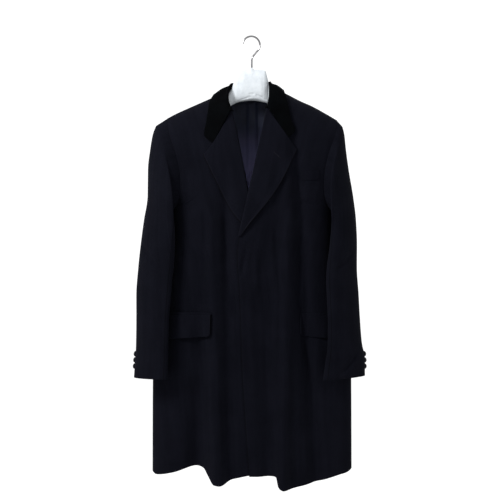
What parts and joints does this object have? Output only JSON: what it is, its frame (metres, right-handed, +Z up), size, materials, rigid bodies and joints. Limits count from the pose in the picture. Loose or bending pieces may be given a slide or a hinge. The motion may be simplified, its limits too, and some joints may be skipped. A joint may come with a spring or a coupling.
{
  "type": "chesterfield coat on a hanger",
  "caption": "Dark wool chesterfield coat with a velvet collar, notch lapels, a fly front and flap pockets, worn over the shoulders of a wrapped hanger with a wire hook.",
  "frame": {"origin": "inside of the hook's crown, where the rail it hangs on touches it", "axes": "+Z up along the hook; the coat's front faces -Y; the wearer's left is +X"},
  "size_m": [0.6123, 0.1559, 1.1893],
  "materials": {
    "wool": "matt coating wool",
    "velvet": "velvet pile",
    "satin": "satin",
    "button": "polished horn look",
    "wrap": "soft wrap",
    "wire": "polished"
  },
  "bodies": {
    "root": {"front_left": "wool", "front_right": "wool", "back_left": "wool", "back_right": "wool", "top_sleeve_left": "wool", "under_sleeve_left": "wool", "top_sleeve_right": "wool", "under_sleeve_right": "wool", "lapel_left": "wool", "lapel_right": "wool", "flap_left": "wool", "flap_right": "wool", "jet_left": "wool", "jet_right": "wool", "breast_welt": "wool", "velvet_collar": "velvet", "back_lining": "satin", "cuff_button_left_1": "button", "cuff_button_left_2": "button", "cuff_button_left_3": "button", "cuff_button_right_1": "button", "cuff_button_right_2": "button", "cuff_button_right_3": "button", "hanger_body": "wrap", "hook": "wire"}
  },
  "joints": []
}
